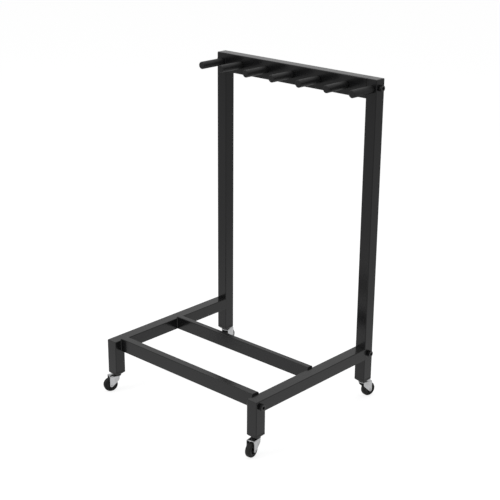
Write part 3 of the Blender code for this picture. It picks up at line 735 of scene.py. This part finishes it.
foot = foot_mesh(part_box("front_left_socket")[1].z)
for corner in CORNERS:
    low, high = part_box(f"{corner}_socket")
    under_leg = Matrix.Translation(((low.x + high.x) / 2, (low.y + high.y) / 2, 0))
    made = piece(f"{corner}_foot", foot, plug_plastic, "root", under_leg)
    flatten_shading(made)
    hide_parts(f"{corner}_socket")


# Stems and bearings. A steel stem is pressed into each foot up to its collar, and its lower end is riveted over under
# the fork. A pressed cup, domed over the swivel's balls, turns round it on the fork's crown. Stem and cup both take
# the bolts' black finish, which keeps the gap between the foot and the crown dark.
STEM_CHAMFER = 0.001
COLLAR_EDGE = 0.0006
COLLAR_EDGE_STEPS = 4
RIVET_RADIUS = 0.00575
RIVET_SLOPES = (0.25, 0.6, 0.95, 1.25)  # radians down the riveted end's dome
CUP_SKIRT = 0.0005
CUP_DOME = 0.0025
CUP_STEPS = 8
FORK_PLATE = 0.0012
ROUND_SEGMENTS = 64

stem_low, stem_high = caster_box("stem")
fork_low, fork_high = caster_box("fork")
CROWN_TOP = fork_high.z


def stem_mesh():
    """The stem: a shank in the leg, the collar under the leg, and the riveted end under the crown."""
    bottom = bearing_high.z + FIT
    top = bottom + COLLAR_HEIGHT
    collar = COLLAR_RADIUS - COLLAR_EDGE
    rivet_top = CROWN_TOP - FORK_PLATE - FIT
    depth = rivet_top - stem_low.z
    profile = [(0, stem_high.z), (STEM_RADIUS - STEM_CHAMFER, stem_high.z), (STEM_RADIUS, stem_high.z - STEM_CHAMFER)]
    profile += [(STEM_RADIUS, top)]
    profile += arc((collar, top - COLLAR_EDGE), COLLAR_EDGE, 90, 0, COLLAR_EDGE_STEPS)
    profile += arc((collar, bottom + COLLAR_EDGE), COLLAR_EDGE, 0, -90, COLLAR_EDGE_STEPS)
    profile += [(STEM_RADIUS, bottom), (STEM_RADIUS, rivet_top), (RIVET_RADIUS, rivet_top)]
    profile += [(RIVET_RADIUS * math.cos(a), rivet_top - depth * math.sin(a)) for a in RIVET_SLOPES]
    return turned("stem", profile + [(0, stem_low.z)], ROUND_SEGMENTS)


def bearing_mesh():
    """The pressed cup over the swivel's balls: a flat top round the stem, a full dome and a short upright skirt."""
    bore = STEM_RADIUS + FIT
    outer = bearing_high.x
    fall = bearing_high.z - bearing_low.z - CUP_SKIRT
    profile = [(bore, bearing_high.z)]
    for step in range(CUP_STEPS + 1):
        angle = math.radians(90 * step / CUP_STEPS)
        profile.append((outer - CUP_DOME * (1 - math.sin(angle)), bearing_high.z - fall * (1 - math.cos(angle))))
    return turned("bearing", profile + [(outer, bearing_low.z), (bore, bearing_low.z)], ROUND_SEGMENTS)


def caster_piece(corner, kind, mesh, material, body, turn=Matrix()):
    """A piece of one of the four casters, in the place of its CAD node."""
    made = piece(f"{corner}_{kind}_piece", mesh, material, body, caster_place(corner) @ turn)
    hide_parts(f"{corner}_{kind}")
    return made


stem, bearing = stem_mesh(), bearing_mesh()
for corner in CORNERS:
    caster_piece(corner, "stem", stem, bolt_steel, "root")
    caster_piece(corner, "bearing", bearing, bolt_steel, f"{corner}_caster")


# Forks. Each is blanked from steel sheet, folded into a crown with a side plate on each side of the wheel, and plated
# with bright zinc. The side plates taper from a lip at the front of the crown to a round boss at the axle.
FORK_BEND = 0.0018
FORK_LIP = 0.003
FORK_BOSS = 0.0036
FORK_EDGE = 0.0002
FORK_EDGE_ANGLE = 50.0
FORK_SOFTNESS = 0.0012
CROWN_CORNER = 0.006
BOSS_ANGLES = (82, 72, 60, 48, 36, 24, 12, 0)  # degrees below the axle
PLATE_ROWS = 10
BEND_STEPS = 7
CROWN_ROWS = 6
FORK_COLUMNS = 24
ZINC_CLEAN = (0.56, 0.565, 0.575, 1)
ZINC_DULL = (0.44, 0.44, 0.435, 1)
ZINC_RELIEF = 0.000006
MARKS_DULL = 0.12

axle_low, axle_high = caster_box("axle")
FORK_HALF = fork_high.y
FORK_LEAD = fork_low.x
FORK_TAIL = fork_high.x
TRAIL = (axle_low.x + axle_high.x) / 2
AXLE_HEIGHT = (axle_low.z + axle_high.z) / 2


def crown_lead(y):
    """Where the crown starts, with its front corners rounded in plan."""
    past = max(0.0, abs(y) - (FORK_HALF - CROWN_CORNER))
    return FORK_LEAD + CROWN_CORNER - math.sqrt(max(0.0, CROWN_CORNER**2 - past**2))


def plate_lead(z):
    """Where a side plate starts: below the lip, on the tangent from the lip to the boss, then round the boss."""
    lip = (FORK_LEAD, CROWN_TOP - FORK_LIP)
    away = (lip[0] - TRAIL, lip[1] - AXLE_HEIGHT)
    turned_to = math.atan2(away[1], away[0]) + math.acos(FORK_BOSS / math.hypot(*away))
    touch = (TRAIL + FORK_BOSS * math.cos(turned_to), AXLE_HEIGHT + FORK_BOSS * math.sin(turned_to))
    if z < touch[1]:
        return TRAIL - math.sqrt(max(0.0, FORK_BOSS**2 - (z - AXLE_HEIGHT) ** 2))
    slanted = lip[0] + (z - lip[1]) * (touch[0] - lip[0]) / (touch[1] - lip[1])
    upright = FORK_LEAD + CROWN_CORNER
    return (slanted + upright + math.hypot(slanted - upright, FORK_SOFTNESS)) / 2


def plate_tail(z):
    """Where a side plate ends: upright down to the axle, then round the boss."""
    below = max(0.0, AXLE_HEIGHT - z)
    return TRAIL + math.sqrt(max(0.0, FORK_BOSS**2 - below**2))


def fork_mesh():
    """The fork's outer face, laid row by row from one side plate's boss over the crown to the other's."""
    side_rows = [AXLE_HEIGHT - FORK_BOSS * math.sin(math.radians(angle)) for angle in BOSS_ANGLES]
    top = CROWN_TOP - FORK_BEND
    side_rows += [AXLE_HEIGHT + (top - AXLE_HEIGHT) * step / PLATE_ROWS for step in range(1, PLATE_ROWS)]
    half = [(FORK_HALF, z, plate_lead(z), plate_tail(z)) for z in side_rows]
    for y, z in arc((FORK_HALF - FORK_BEND, top), FORK_BEND, 0, 90, BEND_STEPS):
        half.append((y, z, crown_lead(y), FORK_TAIL))
    flat = FORK_HALF - FORK_BEND
    for step in range(1, CROWN_ROWS):
        y = flat * (1 - step / CROWN_ROWS)
        half.append((y, CROWN_TOP, crown_lead(y), FORK_TAIL))
    rows = half + [(0.0, CROWN_TOP, crown_lead(0.0), FORK_TAIL)]
    rows += [(-y, z, lead, tail) for y, z, lead, tail in reversed(half)]
    rings = []
    for y, z, lead, tail in rows:
        rings.append([(lead + (tail - lead) * i / FORK_COLUMNS, y, z) for i in range(FORK_COLUMNS + 1)])
    return lofted("fork", rings, closed=False)


def zinc_plate(name, clean, dull):
    """Zinc plate with a clear passivation: a little cool, with rolling lines and dull finger marks."""
    material, tree, shader, place = new_finish(name, 0.24, metallic=1.0)
    lines = place_effect(
        tree, drawn_lines, Place=place, Crowding=(0.06, 1.0, 1.0), Scale=2200.0, Breakup=0.55
    )["Lines"]
    marks = place_effect(tree, mottling, Place=place, Scale=160.0, Detail=5.0, Start=0.42)["Mask"]
    tree.links.new(blended(tree, marks, clean, dull), shader["Base Color"])
    roughness = spread_over(tree, lines, spread=0.08, least=0.16)
    vary_roughness(tree, shader, marks, MARKS_DULL, roughness)
    raise_surface(tree, shader, lines, ZINC_RELIEF)
    return material


zinc = zinc_plate("bright zinc plate", ZINC_CLEAN, ZINC_DULL)
fork = fork_mesh()
for corner in CORNERS:
    made = caster_piece(corner, "fork", fork, zinc, f"{corner}_caster")
    give_wall(made, FORK_PLATE)
    stamped = made.modifiers.new("stamped edge", "BEVEL")
    stamped.width = FORK_EDGE
    stamped.segments = 2
    stamped.angle_limit = math.radians(FORK_EDGE_ANGLE)
    flatten_shading(made)


# Axles. A steel rivet, plated a duller zinc, goes through both side plates and the hub and carries the wheel. One
# end has a domed head, and the other is set over against the plate and keeps the dimple of the tool.
AXLE_RADIUS = 0.002
AXLE_HEAD = 0.0031
AXLE_DOME_STEPS = 9
SET_END_SIDE = 0.0004
SET_END_TAPER = 0.0006
DIMPLE_RADIUS = 0.0012
DIMPLE_FLOOR = 0.7  # of the dimple's radius
DIMPLE_DEPTH = 0.0005
DIMPLE_CENTRE_DEPTH = 0.0006
RIVET_CLEAN = (0.34, 0.34, 0.345, 1)
RIVET_DULL = (0.22, 0.22, 0.215, 1)


def axle_mesh():
    """The rivet through the fork and the hub, along Z, with a domed head on one end and a set end on the other."""
    seat = FORK_HALF + FIT
    end = axle_high.y
    swept = [math.radians(90 * step / AXLE_DOME_STEPS) for step in range(AXLE_DOME_STEPS)]
    profile = [(AXLE_HEAD * math.sin(a), seat + (end - seat) * math.cos(a)) for a in swept]
    profile += [(AXLE_HEAD, seat), (AXLE_RADIUS, seat), (AXLE_RADIUS, -seat), (AXLE_HEAD, -seat)]
    profile += [(AXLE_HEAD, -seat - SET_END_SIDE), (AXLE_HEAD - SET_END_TAPER, -end), (DIMPLE_RADIUS, -end)]
    profile += [(DIMPLE_RADIUS * DIMPLE_FLOOR, -end + DIMPLE_DEPTH), (0, -end + DIMPLE_CENTRE_DEPTH)]
    return turned("axle", profile, ROUND_SEGMENTS)


rivet_zinc = zinc_plate("dull zinc rivet", RIVET_CLEAN, RIVET_DULL)
axle = axle_mesh()
along_axle = Matrix.Translation((TRAIL, 0, AXLE_HEIGHT)) @ Matrix.Rotation(math.radians(-90), 4, "X")
for corner in CORNERS:
    caster_piece(corner, "axle", axle, rivet_zinc, f"{corner}_caster", along_axle)


# Wheels. Each has a hub moulded from glass-filled black nylon, with a boss between the side plates, and a rubber
# tyre moulded round it, with round shoulders and the fine ridge of its mould round the middle of the tread.
WHEEL_SEGMENTS = 112
HUB_BOSS = 0.004
HUB_BOSS_EDGE = 0.0004
HUB_WEB = 0.005
HUB_FILLET = 0.0007
HUB_FILLET_STEPS = 4
HUB_RIM_WALL = 0.0022
HUB_RIM_INSET = 0.00075
HUB_RIM_EDGE = 0.0004
HUB_RIM_STEPS = 3
HUB_BLACK = (0.006, 0.006, 0.006, 1)
HUB_SWIRL = (0.013, 0.013, 0.013, 1)
HUB_RELIEF = 0.00002
TYRE_SHOULDER = 0.0038
TYRE_SHOULDER_STEPS = 10
TYRE_LIP = 0.0004
TYRE_SEAT = FIT / 10  # too thin to see, and keeps hub and tyre from sharing a surface
TREAD_DROP = 0.00012
MOULD_RIDGE = 0.0003
TREAD_WEAR_STARTS = 0.0012  # in from the tread
TREAD_WEAR_FULL = 0.0001
TYRE_BLACK = (0.006, 0.006, 0.0062, 1)
TYRE_SCUFFED = (0.026, 0.0255, 0.0245, 1)
TYRE_RELIEF = 0.00003
WEAR_DULLS = 0.25

tyre_high = caster_box("tyre")[1]
hub_high = caster_box("hub")[1]
TYRE_RADIUS = tyre_high.z - AXLE_HEIGHT
TYRE_HALF = tyre_high.y
HUB_RADIUS = hub_high.z - AXLE_HEIGHT


def mirrored(upper):
    """A profile that is the same above and below the XY plane, from its upper half."""
    return upper + [(radius, -height) for radius, height in reversed(upper)]


def hub_mesh():
    """The hub: a boss that runs between the side plates, a dished web and a rim, with moulded radii between."""
    boss = hub_high.y
    rim = HUB_RADIUS
    inner = rim - HUB_RIM_WALL
    width = TYRE_HALF - HUB_RIM_INSET
    web = HUB_WEB / 2 + HUB_FILLET
    upper = [(AXLE_RADIUS + FIT, boss), (HUB_BOSS - HUB_BOSS_EDGE, boss), (HUB_BOSS, boss - HUB_BOSS_EDGE)]
    upper += arc((HUB_BOSS + HUB_FILLET, web), HUB_FILLET, 180, 270, HUB_FILLET_STEPS)
    upper += arc((inner - HUB_FILLET, web), HUB_FILLET, 270, 360, HUB_FILLET_STEPS)
    upper += arc((inner + HUB_RIM_EDGE, width - HUB_RIM_EDGE), HUB_RIM_EDGE, 180, 90, HUB_RIM_STEPS)
    upper += arc((rim - HUB_RIM_EDGE, width - HUB_RIM_EDGE), HUB_RIM_EDGE, 90, 0, HUB_RIM_STEPS)
    return turned("hub", mirrored(upper), WHEEL_SEGMENTS)


def tyre_mesh():
    """The tyre: tight on the hub but for a fine groove at its mouth, with a flat tread between round shoulders."""
    upper = [(HUB_RADIUS + TYRE_SEAT, TYRE_HALF - HUB_RIM_INSET - 2 * HUB_RIM_EDGE)]
    upper += [(HUB_RADIUS + FIT, TYRE_HALF - TYRE_LIP), (HUB_RADIUS + FIT + TYRE_LIP, TYRE_HALF)]
    shoulder = (TYRE_RADIUS - TREAD_DROP - TYRE_SHOULDER, TYRE_HALF - TYRE_SHOULDER)
    upper += arc(shoulder, TYRE_SHOULDER, 90, 0, TYRE_SHOULDER_STEPS)
    upper += [(TYRE_RADIUS - TREAD_DROP, MOULD_RIDGE), (TYRE_RADIUS, MOULD_RIDGE / 3)]
    return turned("tyre", mirrored(upper), WHEEL_SEGMENTS)


def black_hub_plastic():
    """Glass-filled black nylon: dark and fairly glossy, with pale swirls where it flowed into the mould."""
    material, tree, shader, place = new_finish("black hub nylon", 0.35, specular=0.3)
    skin = place_effect(tree, flowed_skin, Place=place, Wave_size=0.0015, Grain_size=0.0003, Grain=0.6)
    swirl = place_effect(tree, mottling, Place=place, Scale=300.0, Detail=6.0, Start=0.5, Full=0.8)["Mask"]
    tree.links.new(blended(tree, swirl, HUB_BLACK, HUB_SWIRL), shader["Base Color"])
    vary_roughness(tree, shader, skin["Drift"], spread=0.12, least=0.28)
    raise_surface(tree, shader, skin["Height"], HUB_RELIEF)
    return material


def black_tyre_rubber():
    """Black rubber: a dry moulded skin, with the tread scuffed grey by the floor and grit pressed into it."""
    material, tree, shader, place = new_finish("black tyre rubber", 0.6, specular=0.25)
    skin = place_effect(tree, flowed_skin, Place=place, Wave_size=0.0012, Grain_size=0.00025, Grain=1.0)
    flat = node(tree, "ShaderNodeVectorMath", {0: place, 1: (1, 1, 0)}, operation="MULTIPLY").outputs["Vector"]
    reach = node(tree, "ShaderNodeVectorMath", {0: flat}, operation="LENGTH").outputs["Value"]
    tread = ranged(tree, reach, low=TYRE_RADIUS - TREAD_WEAR_STARTS, high=TYRE_RADIUS - TREAD_WEAR_FULL)
    scuffs = place_effect(
        tree, mottling, Place=place, Scale=380.0, Detail=5.0, Breakup=0.65, Start=0.35
    )["Mask"]
    worn = sums(tree, "MULTIPLY", tread, spread_over(tree, scuffs, spread=0.7, least=0.3))
    tree.links.new(blended(tree, worn, TYRE_BLACK, TYRE_SCUFFED), shader["Base Color"])
    roughness = spread_over(tree, skin["Drift"], spread=0.12, least=0.48)
    vary_roughness(tree, shader, worn, WEAR_DULLS, roughness)
    raise_surface(tree, shader, skin["Height"], TYRE_RELIEF)
    return material


hub_plastic = black_hub_plastic()
tyre_rubber = black_tyre_rubber()
hub, tyre = hub_mesh(), tyre_mesh()
for corner in CORNERS:
    caster_piece(corner, "hub", hub, hub_plastic, f"{corner}_wheel", along_axle)
    caster_piece(corner, "tyre", tyre, tyre_rubber, f"{corner}_wheel", along_axle)


# Studio. A pale floor under soft light: a wide softbox overhead, a key from the front left and an even sky.
# Mirror images see the floor lit in a pool that fades away from the cart, and the picture sees it white.
FLOOR_SIZE = 14.0
FLOOR_DIFFUSE = 0.8
FLOOR_IN_PICTURE = 1.12
SHADOW_SHARE = 0.3
MIRRORED_SHARE = 0.55
OPEN_FLOOR = 0.75
POOL_NEAR = 0.88
POOL_FAR = 0.53
POOL_REACH = 1.1
SKY_DIFFUSE = 0.55
SKY_MIRRORED = 0.7
SKY_FRONT_RIGHT = 0.6
SKY_FADE = (-0.2, 0.9)  # cosines of the angle from the front right
FRONT_RIGHT = (0.68, -0.73, 0.0)
LIT_MIDDLE = (0.0, 0.0, 0.35)


def ray_kinds(tree):
    """1 or 0 for a ray that comes from the camera, and 1 or 0 for one that comes off a mirror or through glass."""
    path = node(tree, "ShaderNodeLightPath").outputs
    mirrored_ray = sums(tree, "MAXIMUM", path["Is Glossy Ray"], path["Is Transmission Ray"])
    return path["Is Camera Ray"], mirrored_ray


def pale_floor():
    """A matt floor. Its glow, which only the picture and the mirror images see, makes up for the share of its matt
    colour that each of them gets, so that the cart's shadow stays."""
    material = bpy.data.materials.new("pale studio floor")
    material.use_nodes = True
    material.cycles.emission_sampling = "NONE"
    tree = material.node_tree
    tree.nodes.clear()
    in_camera, in_mirror = ray_kinds(tree)
    place = node(tree, "ShaderNodeTexCoord").outputs["Object"]
    distance = node(tree, "ShaderNodeVectorMath", {0: place}, operation="LENGTH").outputs["Value"]
    pool = ranged(tree, distance, low=0.0, high=POOL_REACH, to_low=POOL_NEAR, to_high=POOL_FAR)
    pool = sums(tree, "SUBTRACT", pool, MIRRORED_SHARE * OPEN_FLOOR)
    level = sums(tree, "MULTIPLY", pool, in_mirror)
    level = sums(tree, "MULTIPLY_ADD", in_camera, FLOOR_IN_PICTURE - SHADOW_SHARE, level)
    glow = node(tree, "ShaderNodeEmission", {"Color": (1, 1, 1, 1), "Strength": level})
    share = sums(tree, "MULTIPLY_ADD", in_camera, SHADOW_SHARE - FLOOR_DIFFUSE, FLOOR_DIFFUSE)
    share = sums(tree, "MULTIPLY_ADD", in_mirror, MIRRORED_SHARE - FLOOR_DIFFUSE, share)
    grey = node(tree, "ShaderNodeCombineColor", {"Red": share, "Green": share, "Blue": share})
    matt = node(tree, "ShaderNodeBsdfDiffuse", {"Color": grey.outputs[0]})
    both = node(tree, "ShaderNodeAddShader", {0: glow.outputs[0], 1: matt.outputs[0]})
    node(tree, "ShaderNodeOutputMaterial", {"Surface": both.outputs[0]})
    return material


mesh = bpy.data.meshes.new("studio_floor")
shape = bmesh.new()
bmesh.ops.create_grid(shape, x_segments=2, y_segments=2, size=FLOOR_SIZE / 2)
shape.to_mesh(mesh)
shape.free()
mesh.materials.append(pale_floor())
floor = bpy.data.objects.new("studio_floor", mesh)
bpy.context.scene.collection.objects.link(floor)
floor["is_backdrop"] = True

world = bpy.data.worlds.new("studio sky")
world.use_nodes = True
world.cycles.sampling_method = "NONE"
bpy.context.scene.world = world
tree = world.node_tree
in_camera, in_mirror = ray_kinds(tree)
way = node(tree, "ShaderNodeTexCoord").outputs["Generated"]
towards = node(tree, "ShaderNodeVectorMath", {0: way, 1: FRONT_RIGHT}, operation="DOT_PRODUCT").outputs["Value"]
mirrored_sky = ranged(tree, towards, *SKY_FADE, to_low=SKY_MIRRORED, to_high=SKY_FRONT_RIGHT)
level = sums(tree, "ADD", sums(tree, "MULTIPLY", mirrored_sky, in_mirror), in_camera)
carried = sums(tree, "SUBTRACT", 1.0, sums(tree, "MAXIMUM", in_camera, in_mirror))
level = sums(tree, "MULTIPLY_ADD", carried, SKY_DIFFUSE, level)
tree.nodes["Background"].inputs["Color"].default_value = (1, 1, 1, 1)
tree.links.new(level, tree.nodes["Background"].inputs["Strength"])


def softbox(name, place, size, watts):
    lamp = bpy.data.lights.new(name, "AREA")
    lamp.shape = "SQUARE"
    lamp.size = size
    lamp.energy = watts
    made = bpy.data.objects.new(name, lamp)
    way = Vector(LIT_MIDDLE) - Vector(place)
    made.matrix_world = Matrix.Translation(place) @ way.to_track_quat("-Z", "Y").to_matrix().to_4x4()
    bpy.context.scene.collection.objects.link(made)


softbox("overhead_softbox", place=(0.0, 0.2, 2.6), size=1.8, watts=20.0)
softbox("key_softbox", place=(-1.2, -2.4, 2.2), size=1.5, watts=22.0)


def corners(box):
    return [[float(value) for value in corner] for corner in box]


{"cad": corners(cad_box), "visual": corners(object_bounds())}
